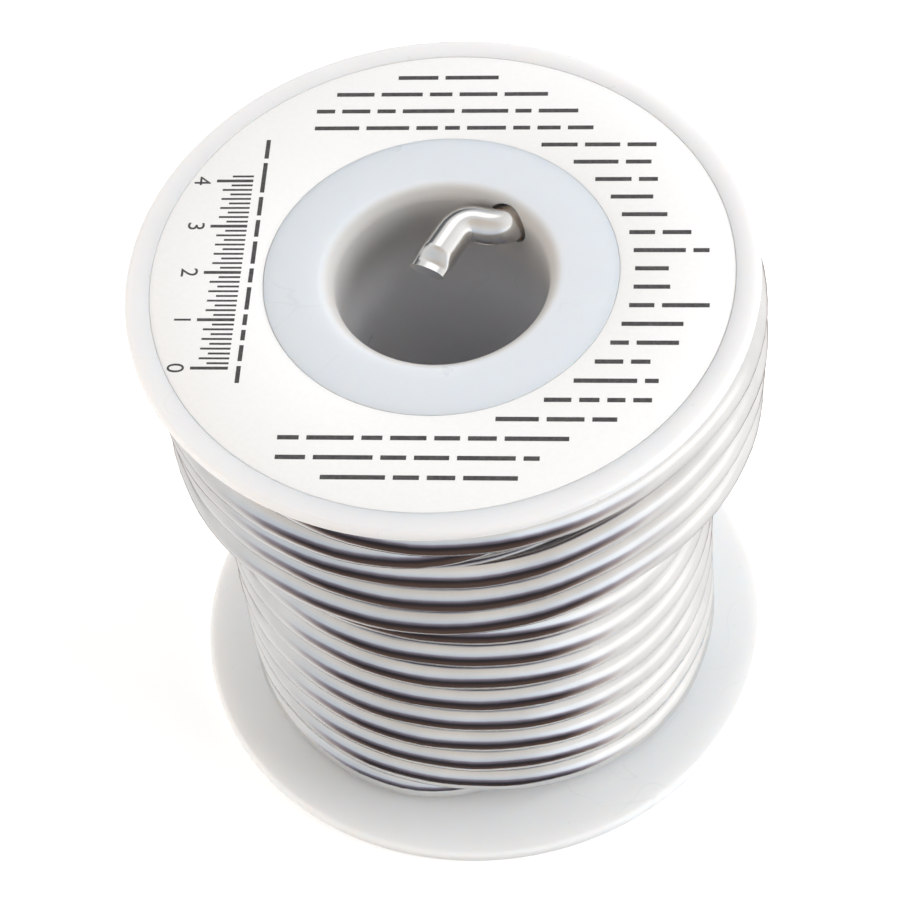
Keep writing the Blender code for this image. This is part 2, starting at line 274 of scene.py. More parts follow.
# %% Drill the start hole
HOLE_ANGLE = 136.0
HOLE_DIAMETER = 3.7 * MM
HOLE_DEPTH = 2.4 * MM
HOLE_FALL = 0.8 * MM
DRILL_LENGTH = 4.5 * MM


def around(angle, radius, height):
    """The point at an angle round the axis, a radius and a height."""
    turn = radians(angle)
    return Vector((radius * sin(turn), -radius * cos(turn), height))


hole_inside = around(HOLE_ANGLE, BORE_RADIUS, SPOOL_HEIGHT - HOLE_DEPTH)
hole_outside = around(HOLE_ANGLE, HUB_RADIUS, SPOOL_HEIGHT - HOLE_DEPTH - HOLE_FALL)
hole_axis = (hole_outside - hole_inside).normalized()
clear_selection()
bpy.ops.mesh.primitive_cylinder_add(
    vertices=48, radius=HOLE_DIAMETER / 2, depth=DRILL_LENGTH,
    location=(hole_inside + hole_outside) / 2,
    rotation=hole_axis.to_track_quat("Z", "Y").to_euler(),
)
drill = bpy.context.object
take(upper_half)
cut = upper_half.modifiers.new("start hole", "BOOLEAN")
cut.operation = "DIFFERENCE"
cut.object = drill
bpy.ops.object.modifier_apply(modifier=cut.name)
bpy.data.objects.remove(drill)
soft_but_for_edges(upper_half)
print("hole drilled:", len(upper_half.data.polygons), "faces")

# %% [markdown]
# ## The labels
# A label is a ring of coated paper, a tenth of a millimetre thick, glued into the recess. It is
# spun like the flange. Its cut edges are eased a little, which gives a fine line of light there.

# %% Paper rings
PAPER_EASE = 0.02 * MM


def paper_ring(name, cad_node):
    bottom, top = [corner.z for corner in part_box(cad_node)]
    inner, outer, ease = LABEL_INNER, LABEL_OUTER, PAPER_EASE
    section = arc(outer - ease, top - ease, ease, 90, 0, 2)
    section += arc(outer - ease, bottom + ease, ease, 0, -90, 2)
    section += arc(inner + ease, bottom + ease, ease, 270, 180, 2)
    return spun(name, section + arc(inner + ease, top - ease, ease, 180, 90, 2))


upper_paper = paper_ring("paper_label_top", "upper_label")
lower_paper = paper_ring("paper_label_bottom", "lower_label")
print("labels:", len(upper_paper.data.polygons), "faces each")

# %% [markdown]
# ## Printing on the label
# The print is plain on purpose: ruled bars of different lengths in rows round the hole, and at
# the left a small scale with numbers. Each mark is a sheet of ink a hundredth of a millimetre
# thick, so its edges stay sharp at any size, which a pattern in the material would not. Rows are
# laid from top to bottom, and where the hole is in the way, a row starts just clear of it.

# %% Rows of bars
PRINT_ROWS = 23
ROW_PITCH = 1.93 * MM
TOP_ROW = 21.7 * MM
BAR_HEIGHT = 0.43 * MM
BAR_GAP = 0.62 * MM
BAR_LENGTHS_MM = (1.2, 5.2)
LEAST_BAR = 0.6 * MM
LEAST_ROW = 1.5 * MM
RAGGED_MM = (0.0, 3.6)
TEXT_LEFT, TEXT_RIGHT = -11.9 * MM, 16.0 * MM
CLEAR_OF_HOLE = 15.9 * MM
CLEAR_OF_EDGE = 22.3 * MM
INK_THICKNESS = 0.01 * MM
PRINT_TURN = -9.5


def row_limits(height, draw):
    """Left and right end of a row at this height, with a ragged right-hand end."""
    half_width = sqrt(max(CLEAR_OF_EDGE ** 2 - height ** 2, 0.0))
    ragged = draw.uniform(*RAGGED_MM) * MM
    if abs(height) < CLEAR_OF_HOLE - 0.7 * MM:
        left = sqrt(CLEAR_OF_HOLE ** 2 - height ** 2)
    else:
        left = max(TEXT_LEFT, -half_width)
    right = min(half_width, TEXT_RIGHT) if height > CLEAR_OF_HOLE else half_width
    return left, max(right - ragged, left + LEAST_ROW)


def bars_in_row(left, right, draw):
    """(start, end) of each bar: word-long dashes with a gap between two of them."""
    start, found = left, []
    while start < right - LEAST_BAR:
        end = min(start + draw.uniform(*BAR_LENGTHS_MM) * MM, right)
        found.append((start, end))
        start = end + BAR_GAP
    return found


chance = Random(11)
row_marks = []
for row in range(PRINT_ROWS):
    row_height = TOP_ROW - row * ROW_PITCH
    for start, end in bars_in_row(*row_limits(row_height, chance), chance):
        row_marks.append((start, end, row_height - BAR_HEIGHT / 2, row_height + BAR_HEIGHT / 2))
print(len(row_marks), "bars in", PRINT_ROWS, "rows")

# %% [markdown]
# The scale stands at the left of the hole, with a broken rule beside it. Its lines are half a
# millimetre apart, every second one is longer, and every tenth is the longest and carries a
# number. The numbers are Blender's own text, converted into a mesh before they are put in place.

# %% The scale and its numbers
SCALE_RIGHT = -16.6 * MM
SCALE_LOW = -10.0 * MM
SCALE_LINES = 42
SCALE_PITCH = 0.5 * MM
LINES_PER_NUMBER = 10
LINE_WIDTH = 0.2 * MM
LONG_LINE, MIDDLE_LINE, SHORT_LINE = 3.1 * MM, 2.5 * MM, 1.8 * MM
RULE_LEFT, RULE_WIDTH = -15.55 * MM, 0.36 * MM
RULE_LOW, RULE_HIGH = SCALE_LOW - 1.5 * MM, 12.5 * MM
NUMBER_PLACE = SCALE_RIGHT - 5.0 * MM
NUMBER_SIZE = 2.03 * MM

scale_marks = []
for index in range(SCALE_LINES):
    numbered = index % LINES_PER_NUMBER == 0
    length = LONG_LINE if numbered else SHORT_LINE if index % 2 else MIDDLE_LINE
    height = SCALE_LOW + index * SCALE_PITCH
    half = LINE_WIDTH * (1.5 if numbered else 1.0) / 2
    scale_marks.append((SCALE_RIGHT - length, SCALE_RIGHT, height - half, height + half))
rule_height = RULE_LOW
while rule_height < RULE_HIGH:
    rule_end = rule_height + chance.uniform(0.9, 3.4) * MM
    scale_marks.append((RULE_LEFT - RULE_WIDTH, RULE_LEFT, rule_height, rule_end))
    rule_height = rule_end + 0.5 * MM


def number(value):
    """A printed number beside its line, turned a quarter so that it reads along the scale."""
    clear_selection()
    height = SCALE_LOW + value * LINES_PER_NUMBER * SCALE_PITCH
    bpy.ops.object.text_add(location=(NUMBER_PLACE, height, 0.0), rotation=(0, 0, -pi / 2))
    obj = bpy.context.object
    obj.data.body = str(value)
    obj.data.size = NUMBER_SIZE
    obj.data.align_x = "CENTER"
    obj.data.extrude = INK_THICKNESS / 2
    obj.data.resolution_u = 6
    bpy.ops.object.convert(target="MESH")
    put_in_place(obj)
    return obj


numbers = [number(value) for value in range(5)]
print(len(scale_marks), "lines and", len(numbers), "numbers")

# %% [markdown]
# The marks and the numbers are joined, turned to the angle at which the label was glued on, and
# set on the paper. Text from Blender comes with its front, back and sides as loose pieces, so
# doubles are merged last. The underside gets the same print, seen from below.

# %% Set the print on the labels
def print_marks(name, marks):
    """Marks given as (left, right, low, high), laid flat in one mesh and then thickened."""
    clear_selection()
    bpy.ops.mesh.primitive_plane_add(size=MM)
    obj = bpy.context.object
    obj.name = obj.data.name = name
    edit()
    pick_all()
    bpy.ops.mesh.delete(type="VERT")
    for left, right, low, high in marks:
        centre = ((left + right) / 2, (low + high) / 2, 0.0)
        bpy.ops.mesh.primitive_plane_add(size=1.0, location=centre)
        bpy.ops.transform.resize(value=(right - left, high - low, 1.0), center_override=centre)
    pick_all()
    bpy.ops.mesh.extrude_region_move(TRANSFORM_OT_translate={"value": (0, 0, INK_THICKNESS)})
    finish_edit()
    return obj


def print_on(paper, name, above):
    """Copies the marks and numbers, joins them, and lays them on the paper's outer face."""
    marks = print_marks(name, row_marks + scale_marks)
    for source in numbers:
        copy = source.copy()
        copy.data = source.data.copy()
        bpy.context.scene.collection.objects.link(copy)
        copy.location.z = INK_THICKNESS / 2
        put_in_place(copy)
        take(marks, copy)
        bpy.ops.object.join()
    marks.rotation_euler = (0.0 if above else pi, 0.0, radians(PRINT_TURN))
    put_in_place(marks)
    outermost = max if above else min
    marks.location.z = outermost(point.co.z for point in paper.data.vertices)
    put_in_place(marks)
    edit()
    close_skin(SAME_POINT / 5)
    finish_edit()
    return marks


upper_print = print_on(upper_paper, "printed_marks_top", above=True)
lower_print = print_on(lower_paper, "printed_marks_bottom", above=False)
for used in numbers:
    bpy.data.objects.remove(used)
print("print:", len(upper_print.data.polygons), "faces on each label")

# %% [markdown]
# ## How the wire is wound
# Solder is wound like thread on a bobbin. Each turn runs level for most of the way round and
# steps up one place as it crosses the front. The outer full layer fills the width of the spool,
# tight at the bottom and looser towards the top. The last few turns have no place of their own,
# so they ride in the grooves of the turns below, and on the right they are slack and stand off.
# The shape is worked out here as the cross-section of the winding at any angle.

# %% Places of the turns
TURN_GAP = 0.05 * MM
RIDING_GAP = 0.15 * MM
SEAT = WIRE_DIAMETER + TURN_GAP
LEAST_PITCH = SEAT * 1.02
LOWEST = FLANGE_THICKNESS + TURN_GAP + WIRE_RADIUS
HIGHEST = SPOOL_HEIGHT - LOWEST
TURNS = floor((HIGHEST - LOWEST) / LEAST_PITCH) + 1
LAST = TURNS - 1
STEP_UP = (50.0, -20.0)
loosening = ((HIGHEST - LOWEST) - LAST * SEAT) / sum(range(LAST))
SLOTS = [LOWEST]
for interval in range(LAST):
    SLOTS.append(SLOTS[-1] + SEAT + loosening * interval)


def layer_radius(layer):
    even_pitch = (HIGHEST - LOWEST) / LAST
    step = sqrt(SEAT ** 2 - (even_pitch / 2) ** 2)
    return HUB_RADIUS + TURN_GAP + WIRE_RADIUS + (layer - 1) * step


OUTER_RADIUS = layer_radius(4)
BURIED_RADIUS = OUTER_RADIUS - SEAT


def moved(angle, begin, end):
    """Share of a sideways move done at this angle, from 0 at begin to 1 at end."""
    share = min(max((begin - angle) / (begin - end), 0.0), 1.0)
    return share * share * (3 - 2 * share)


def between(low, high, share):
    return low + (high - low) * share


def groove(place):
    return (SLOTS[place] + SLOTS[place + 1]) / 2


def rising(turn, angle):
    """Height of an outer turn. Near the top each step up comes a little later."""
    delay = 4.0 * min(max(turn - (LAST - 5), 0), 3)
    begin, end = STEP_UP
    return between(SLOTS[turn - 1], SLOTS[turn], moved(angle, begin - delay, end - delay))


print(TURNS, "places in the outer layer, at a radius of", round(OUTER_RADIUS / MM, 2), "mm")

# %% [markdown]
# A turn that rides on others can lie no deeper than they allow: its centre is one wire's width
# from each centre that it touches. The slack on the right is added to that. Each sideways move
# is given by the angles where it begins and ends.

# %% Turns that ride on the full layer
SLACK_ANGLE = 84.0
SLACK_SPREAD = 78.0
SLACK = {"top": 2.4 * MM, "second": 2.4 * MM, "third": 2.1 * MM, "fourth": 1.7 * MM}
SQUEEZED_OUT = 0.4 * MM
UNDER_START = 100.0
LAST_END = 23.0
DROP = (178.0, 115.0)
SQUEEZE, RELEASE = (45.0, 0.0), (-130.0, -178.0)
TOP_RISE = (24.0, -6.0)
SLIDE = (-8.0, -100.0)
RISE_BACK = (SLIDE[1], -150.0)


def seated(height, supports, slack=0.0):
    radius = OUTER_RADIUS
    for under_radius, under_height in supports:
        reach = (WIRE_DIAMETER + RIDING_GAP) ** 2 - (height - under_height) ** 2
        if reach > 0:
            radius = max(radius, under_radius + sqrt(reach))
    return radius + slack, height


def slack_at(angle, turn):
    away = abs((angle - SLACK_ANGLE + 180) % 360 - 180) / SLACK_SPREAD
    return SLACK[turn] * cos(min(away, 1.0) * pi / 2) ** 2


def section_at(angle):
    """(radius, height) of each turn of the outer winding at this angle, by name."""
    laid = {turn: (OUTER_RADIUS, rising(turn, angle)) for turn in range(1, LAST)}
    if angle >= LAST_END:
        laid["last"] = (OUTER_RADIUS, SLOTS[LAST])
    full_layer = list(laid.values())
    slid = moved(angle, *SLIDE)
    rising_back = moved(angle, *RISE_BACK)
    squeezed = moved(angle, *SQUEEZE) * (1 - moved(angle, *RELEASE))
    pressed = [SLOTS[LAST] - place * SEAT for place in range(5)]

    beside = groove(LAST - 3) - WIRE_DIAMETER - RIDING_GAP
    coming_down = (
        ("second", SLOTS[LAST - 1], groove(LAST - 2), (175.0, UNDER_START)),
        ("third", groove(LAST - 2), groove(LAST - 3), DROP),
        ("fourth", groove(LAST - 3), beside, DROP),
    )
    for place, (turn, above, below, drop) in enumerate(coming_down, start=2):
        height = between(between(above, below, moved(angle, *drop)), pressed[place], squeezed)
        laid[turn] = seated(height, full_layer, slack_at(angle, turn))

    under = between(SLOTS[LAST - 1], pressed[1], squeezed if angle > SLIDE[1] else 1.0)
    under = between(under, groove(LAST - 1), rising_back)
    in_place = [(OUTER_RADIUS, SLOTS[LAST])] if rising_back > 0 else []
    laid["under"] = seated(under, full_layer + in_place, SQUEEZED_OUT * squeezed * (1 - slid))
    below_top = laid["second" if angle > UNDER_START else "under"]
    top = between(groove(LAST - 1), SLOTS[LAST], moved(angle, *TOP_RISE))
    top_radius, top = seated(top, full_layer + [below_top], slack_at(angle, "top"))
    laid["top"] = (between(top_radius, OUTER_RADIUS, slid), top)
    if angle > UNDER_START:
        del laid["under"]
    return laid


print("slack turns stand off by up to", SLACK["top"] / MM, "mm")

# %% [markdown]
# ## Drawing the wire as one path
# A path with a round bevel is the natural way to make wire, because it bends without changing
# its thickness and its texture runs along it. It gets a point every few degrees and is then
# converted into a mesh. Real wire wanders by a few hundredths of a millimetre, which makes the
# reflections in it waver.

# %% Helpers for the wire's path
STEPS_PER_TURN = 96
WANDER = 0.03 * MM


def angles(begin=180.0, end=-180.0, steps=STEPS_PER_TURN):
    even = [180 - 360 / steps * index for index in range(steps + 1)]
    return [begin] + [angle for angle in even if end < angle < begin] + [end]


def follow(turn, begin=180.0, end=-180.0):
    return [around(angle, *section_at(angle)[turn]) for angle in angles(begin, end)]


def joined(*stretches):
    points = list(stretches[0])
    for stretch in stretches[1:]:
        points += stretch[1:]
    return points


def eased(points, reach=3, passes=2):
    """The same path with its rises and drops spread over a few more steps, as stiff wire lies."""
    angle_of = [point.to_2d().normalized() for point in points]
    levels = [(point.to_2d().length, point.z) for point in points]
    for _ in range(passes):
        softer = []
        for index in range(len(levels)):
            near = min(reach, index, len(levels) - 1 - index)
            window = levels[index - near:index + near + 1]
            softer.append([sum(values) / len(window) for values in zip(*window)])
        levels = softer
    return [
        Vector((heading.x * radius, heading.y * radius, height))
        for heading, (radius, height) in zip(angle_of, levels)
    ]


def wandering(points, phase):
    """The same path with a slow unevenness, mostly towards and away from the axis."""
    travelled, uneven = 0.0, []
    for before, point in zip([points[0]] + points, points):
        travelled += (point - before).length
        sway = sin(travelled * 431 + phase) + 0.6 * sin(travelled * 1013 + 2 * phase)
        lift = sin(travelled * 617 + 3 * phase)
        outward = Vector((point.x, point.y, 0.0)).normalized()
        uneven.append(point + outward * WANDER * sway + Vector((0, 0, 0.4 * WANDER * lift)))
    return uneven


def length_of(points):
    return sum((after - before).length for before, after in zip(points, points[1:]))


print(STEPS_PER_TURN, "steps to a turn")


# %% Helper that draws a wire
def drawn_wire(name, points, roundness):
    """A round wire through the points, with closed ends, as one mesh."""
    clear_selection()
    bpy.ops.curve.primitive_nurbs_path_add(radius=WIRE_RADIUS)
    obj = bpy.context.object
    obj.name = obj.data.name = name
    edit()
    bpy.ops.curve.select_all(action="SELECT")
    bpy.ops.curve.spline_type_set(type="POLY")
    finish_edit()
    spline = obj.data.splines[0]
    spline.points.add(len(points) - len(spline.points))
    for knot, point in zip(spline.points, points):
        knot.co = (*point, 1.0)
    obj.data.bevel_depth = WIRE_RADIUS
    obj.data.bevel_resolution = roundness
    obj.data.use_fill_caps = True
    bpy.ops.object.convert(target="MESH")
    edit()
    pick_all()
    bpy.ops.mesh.remove_doubles(threshold=SAME_POINT)
    finish_edit()
    soft_but_for_edges(obj, 50.0)
    return obj


print("a wire is", round(WIRE_DIAMETER / MM, 3), "mm thick")

# %% [markdown]
# ## The outer winding
# The wire comes up at the bottom from under the first turn and fills the layer nearly to the top.
# There it climbs on top, comes back down over three turns, and ends as a cut end at the back. The
# piled strand is the stretch beside the upper flange: it is squeezed out at the front, goes round
# once on top, and slides into the last place beside the flange.

# %% Outer turns and piled turns
BURIED_START = 78.75
EMERGE = (18.0, -27.0)
CUT_ANGLE = -168.0

emerging = [
    around(angle, between(BURIED_RADIUS, OUTER_RADIUS, moved(angle, *EMERGE)), SLOTS[0])
    for angle in angles(BURIED_START)
]
outer_path = joined(
    emerging, *[follow(turn) for turn in range(1, LAST)],
    follow("second"), follow("third"), follow("fourth", end=CUT_ANGLE),
)
piled_path = joined(follow("under", UNDER_START), follow("top"), follow("last", end=LAST_END))
outer_turns = drawn_wire("outer_turns_of_wire", wandering(eased(outer_path), 0.7), 8)
piled_turns = drawn_wire("piled_turns_of_wire", wandering(eased(piled_path), 2.1), 8)
print("outer", round(length_of(outer_path), 2), "m, piled", round(length_of(piled_path), 2), "m")

# %% [markdown]
# ## The buried layers
# Three layers lie under the outer one, each nested in the grooves of the next. Only a glint of
# them shows, deep between two turns. They are still real wire, in fewer steps, because plain
# rings would look flat there. The two outer ones start one place higher, above the wire that
# comes up at the bottom.

# %% Buried turns
BURIED_STEPS = 64


def buried_layer(name, layer, places):
    radius = layer_radius(layer)
    stretches = [
        [
            around(angle, radius, between(low, high, moved(angle, *STEP_UP)))
            for angle in angles(steps=BURIED_STEPS)
        ]
        for low, high in zip(places, places[1:])
    ]
    return drawn_wire(name, wandering(joined(*stretches), layer), 2)


grooves = [groove(place) for place in range(LAST)]
inner_turns = [
    buried_layer("first_layer_of_wire", 1, grooves),
    buried_layer("second_layer_of_wire", 2, SLOTS[1:]),
    buried_layer("third_layer_of_wire", 3, grooves[1:]),
]
print("buried layers:", [len(piece.data.polygons) for piece in inner_turns], "faces")

# %% [markdown]
# ## The start of the wire
# The first centimetre of wire comes through the drilled hole, is bent round by hand, and was cut
# with side cutters. They squeeze as they cut, so the end is a blunt wedge. The stub is drawn as a
# path, and its last rings of points are then scaled flatter and flatter.

# %% Bend the stub
STUB_DEPTH = 1.75 * MM
STUB_GAP = 0.3 * MM
STUB_LENGTH = 6.0 * MM
STUB_HEADING = radians(235.0)
ELBOW_ANGLE, BEND_ANGLE = HOLE_ANGLE + 1.5, HOLE_ANGLE + 25.0
BEND_REACH = 1.8 * MM
BEND_STEPS = 12
NIP_LENGTH = 1.9 * MM
NIP_RINGS = 16


def rounded_corners(points):
    path = [points[0]]
    for before, corner, after in zip(points, points[1:], points[2:]):
        inward = (before - corner) * min(BEND_REACH / (before - corner).length, 0.5)
        outward = (after - corner) * min(BEND_REACH / (after - corner).length, 0.5)
        for step in range(BEND_STEPS + 1):
            share = step / BEND_STEPS
            path.append(corner + inward * (1 - share) ** 2 + outward * share ** 2)
    return path + [points[-1]]


wall = HUB_RADIUS - BORE_RADIUS
stub_begin = hole_inside + hole_axis * (wall - WIRE_RADIUS * HOLE_FALL / wall)
stub_r = BORE_RADIUS - WIRE_RADIUS
elbow_z = SPOOL_HEIGHT - (STUB_DEPTH + HOLE_DEPTH) / 2
stub_elbow = around(ELBOW_ANGLE, stub_r + STUB_GAP, elbow_z)
stub_bend = around(BEND_ANGLE, stub_r - STUB_GAP, SPOOL_HEIGHT - STUB_DEPTH)
stub_run = Vector((cos(STUB_HEADING), sin(STUB_HEADING), 0.0))
stub_tip = stub_bend + stub_run * STUB_LENGTH
stub_path = rounded_corners([stub_begin, stub_elbow, stub_bend, stub_tip])[:-1]
nip_shares = [1 - ring / NIP_RINGS for ring in range(NIP_RINGS + 1)]
stub_path += [stub_tip - stub_run * NIP_LENGTH * share for share in nip_shares]
stub = drawn_wire("bent_start_of_wire", stub_path, 12)
print("stub:", round(length_of(stub_path) / MM, 1), "mm long")

# %% Nip its end
NIP_HEIGHT = 0.36
NIP_LIP, NIP_BACK = 0.3, 0.95

take(stub)
edit()
for share in nip_shares[1:]:
    middle = stub_tip - stub_run * NIP_LENGTH * share
    count = pick_points(stub, lambda place: abs((place - middle).dot(stub_run)) < 10 * SAME_POINT)
    opening = between(NIP_HEIGHT, 1.0, moved(-share, -NIP_LIP, -NIP_BACK))
    bpy.ops.transform.resize(value=(1.0, 1.0, opening), center_override=middle)
finish_edit()
soft_but_for_edges(stub, 40.0)
print("nipped", len(nip_shares) - 1, "rings; the last one has", count, "points")

# %% [markdown]
# ## Nodes
# A material is a tree of nodes that ends in a shader. These helpers add the nodes used most: a
# sum, a product, a soft step from one value to another, and a mix of two colours.

# %% Helpers for nodes
class Nodes:
    """A node tree being filled. Inputs are numbers, colours, or other nodes' outputs."""

    def __init__(self, tree):
        self.tree = tree

    def feed(self, made, key, value):
        if isinstance(value, bpy.types.NodeSocket):
            self.tree.links.new(value, made.inputs[key])
        else:
            made.inputs[key].default_value = value

    def add(self, kind, inputs=None, **settings):
        """A node with its settings, and its inputs set or linked by name or number."""
        made = self.tree.nodes.new("ShaderNode" + kind)
        for key, value in settings.items():
            setattr(made, key, value)
        for key, value in (inputs or {}).items():
            self.feed(made, key, value)
        return made

    def maths(self, operation, first, second=0.0, third=0.0):
        return self.add("Math", {0: first, 1: second, 2: third}, operation=operation).outputs[0]

    def product(self, first, *others):
        for other in others:
            first = self.maths("MULTIPLY", first, other)
        return first

    def total(self, first, *others):
        for other in others:
            first = self.maths("ADD", first, other)
        return first

    def ramp(self, value, start, end, low=0.0, high=1.0, ease="SMOOTHSTEP"):
        """Goes from low to high while the value goes from start to end."""
        ends = {"From Min": start, "From Max": end, "To Min": low, "To Max": high}
        made = self.add("MapRange", {"Value": value, **ends}, interpolation_type=ease)
        return made.outputs[0]

    def mix(self, share, first, second):
        """A colour between two."""
        mixer = self.add("Mix", data_type="RGBA")
        for key, value in ((0, share), (6, first), (7, second)):
            self.feed(mixer, key, (*value, 1.0) if isinstance(value, tuple) else value)
        return mixer.outputs[2]


def new_group(name, inputs, output):
    """An empty node group, the sockets that bring its inputs in, and its output node."""
    tree = bpy.data.node_groups.new(name, "ShaderNodeTree")
    for label, value in inputs.items():
        kind = "NodeSocketVector" if value is None else "NodeSocketFloat"
        socket = tree.interface.new_socket(label, in_out="INPUT", socket_type=kind)
        if value is not None:
            socket.default_value = value
    tree.interface.new_socket(output, in_out="OUTPUT", socket_type="NodeSocketFloat")
    given, result = tree.nodes.new("NodeGroupInput"), tree.nodes.new("NodeGroupOutput")
    return Nodes(tree), given.outputs, result


print("node helpers ready")

# %% [markdown]
# ## Effects that several materials share
# Nothing real has one even colour or shine. Three effects are needed again and again: a slow
# unevenness, small dark specks of dust, and fine scuffs. Each is a node group, built once, and
# each material places it with its own values.

# %% Unevenness
uneven, given, result = new_group(
    "uneven", {"Vector": None, "Scale": 100.0, "Detail": 3.0, "Low": 0.0, "High": 1.0}, "Value"
)
noise = {label: given[label] for label in ("Vector", "Scale", "Detail")}
clouds = uneven.add("TexNoise", {**noise, "Roughness": 0.55}).outputs[0]
uneven.feed(result, "Value", uneven.ramp(clouds, 0.3, 0.7, given["Low"], given["High"], "LINEAR"))

# %% Specks of dust
specks, given, result = new_group(
    "dust_specks", {"Vector": None, "Scale": 300.0, "Share": 0.06, "Size": 0.12}, "Mask"
)
cells = specks.add("TexVoronoi", {"Vector": given["Vector"], "Scale": given["Scale"]}).outputs
near = specks.maths("LESS_THAN", cells["Distance"], given["Size"])
lot = specks.add("SeparateColor", {"Color": cells["Color"]}).outputs[0]
chosen = specks.maths("LESS_THAN", lot, given["Share"])
specks.feed(result, "Mask", specks.product(near, chosen))

# %% Fine scuffs
scuffs, given, result = new_group(
    "fine_scuffs", {"Vector": None, "Scale": 200.0, "Thinness": 0.02}, "Mask"
)
bent = scuffs.add(
    "TexNoise",
    {"Vector": given["Vector"], "Scale": given["Scale"], "Detail": 1.0, "Distortion": 0.6},
).outputs[0]
off_ridge = scuffs.maths("ABSOLUTE", scuffs.maths("SUBTRACT", bent, 0.5))
ridge = scuffs.ramp(off_ridge, 0.0, given["Thinness"], 1.0, 0.0, "LINEAR")
patches = scuffs.add("TexNoise", {"Vector": given["Vector"], "Scale": 120.0, "Detail": 2.0})
some = scuffs.maths("GREATER_THAN", patches.outputs[0], 0.58)
scuffs.feed(result, "Mask", scuffs.product(ridge, some))
print("shared effects:", [group.name for group in bpy.data.node_groups])

# %% [markdown]
# Every material starts with a Principled shader and the place on the object in metres. A bump of
# a few thousandths of a millimetre is enough for a surface that shines.

# %% Helpers for materials
class Finish(Nodes):
    """A material under construction, with its tree, shader and coordinates."""

    def __init__(self, name):
        self.material = bpy.data.materials.new(name)
        self.material.use_nodes = True
        super().__init__(self.material.node_tree)
        self.shader = self.tree.nodes["Principled BSDF"]
        self.places = self.add("TexCoord").outputs

    def set(self, socket, value):
        self.feed(self.shader, socket, value)

    def effect(self, group, **values):
        inputs = {"Vector": self.places["Object"], **values}
        return self.add("Group", inputs, node_tree=group.tree).outputs[0]

    def bump(self, height, depth, **before):
        """A bump over a height from 0 to 1, depth metres deep, on top of the one before."""
        return self.add("Bump", {"Height": height, "Distance": depth, **before}).outputs["Normal"]


print("material helpers ready")

# %% [markdown]
# ## Moulded white plastic
# The halves are moulded from a white plastic that lets a little light through, so its shadows are
# soft and slightly blue. Subsurface scattering gives that. Light and shade are also painted into
# the tone: round the bore, where only the hollow is behind the flange, a cooler grey is painted as
# shade; the lower flange is painted lighter and warmer, as light thrown up from the floor; and the
# bore is painted a shaded grey at its mouth and lighter further down. The mould leaves a faint
# unevenness in the shine, handling leaves scuffs, and a speck of dust sits here and there.

# %% Tones of the plastic
WHITE_TONES = (0.765, 0.77, 0.78), (0.795, 0.797, 0.805)
OVER_HOLLOW_SHADE_TONE = (0.725, 0.76, 0.8)
LOWER_FLANGE_LIT_TONE = (0.872, 0.868, 0.862)
BORE_MOUTH_SHADE_TONE, DEEP_BORE_LIT_TONE = (0.525, 0.515, 0.5), (0.87, 0.86, 0.88)
SCUFF_TONE, DIRT_TONE = (0.55, 0.55, 0.56), (0.22, 0.18, 0.15)

plastic = Finish("white_moulded_plastic")
flow = plastic.effect(uneven, Scale=70.0, Detail=2.0)
tone = plastic.mix(flow, *WHITE_TONES)
place_x, place_y, place_z = plastic.add("SeparateXYZ", {0: plastic.places["Object"]}).outputs
squares = [plastic.maths("POWER", place, 2.0) for place in (place_x, place_y)]
from_axis = plastic.maths("SQRT", plastic.total(*squares))
# Painted shade: round the bore, inside the label, the plastic is painted a cooler, darker grey for
# the light that the hollow behind it doesn't send back.
outside_bore = plastic.ramp(from_axis, BORE_RADIUS + 0.1 * MM, BORE_RADIUS + LIP_ROUNDING)
inside_label = plastic.ramp(from_axis, LABEL_INNER + 0.8 * MM, LABEL_INNER - 0.4 * MM)
tone = plastic.mix(plastic.product(outside_bore, inside_label), tone, OVER_HOLLOW_SHADE_TONE)
# Painted light: the lower flange is painted lighter and warmer, as light thrown up from the floor.
lower_flange_lit = plastic.ramp(place_z, 6.0 * MM, 3.0 * MM)
tone = plastic.mix(lower_flange_lit, tone, LOWER_FLANGE_LIT_TONE)
# Painted shade and light in the bore: a shaded grey at its mouth, painted lighter further down.
deep_in_bore = plastic.ramp(place_z, SPOOL_HEIGHT - 3.0 * MM, SPOOL_HEIGHT - 13.0 * MM)
in_bore = plastic.ramp(from_axis, BORE_RADIUS + 1.2 * MM, BORE_RADIUS + 0.3 * MM)
bore_shade_tone = plastic.mix(deep_in_bore, BORE_MOUTH_SHADE_TONE, DEEP_BORE_LIT_TONE)
tone = plastic.mix(in_bore, tone, bore_shade_tone)
print("plastic toned by", len(plastic.tree.nodes), "nodes")

# %% Wear and shine of the plastic
dirt = plastic.effect(specks, Scale=150.0, Share=0.035, Size=0.09)
plastic_scuffs = plastic.effect(scuffs, Scale=160.0, Thinness=0.006)
tone = plastic.mix(plastic.product(plastic_scuffs, 0.18), tone, SCUFF_TONE)
tone = plastic.mix(plastic.product(dirt, 0.75), tone, DIRT_TONE)
plastic.set("Base Color", tone)
plastic_shine = plastic.effect(uneven, Scale=260.0, Detail=4.0, Low=0.27, High=0.4)
plastic.set("Roughness", plastic.maths("MULTIPLY_ADD", plastic_scuffs, 0.25, plastic_shine))
mould = plastic.bump(plastic.effect(uneven, Scale=45.0, Detail=1.0), 0.03 * MM)
peel = plastic.effect(uneven, Scale=1500.0, Detail=2.0)
plastic.set("Normal", plastic.bump(peel, 0.0012 * MM, Normal=mould))
plastic.set("Subsurface Weight", 0.7)
plastic.set("Subsurface Radius", (1.0, 0.8, 0.66))
plastic.set("Subsurface Scale", 2.4 * MM)
plastic.set("IOR", 1.54)
print("plastic:", len(plastic.tree.nodes), "nodes")

# %% [markdown]
# ## Coated paper and ink
# Label paper is bright white with a thin coating, flatter in shine than the plastic, and shows
# its fibres as the finest grain. Ink soaks in unevenly, so the bars are not quite black all over.

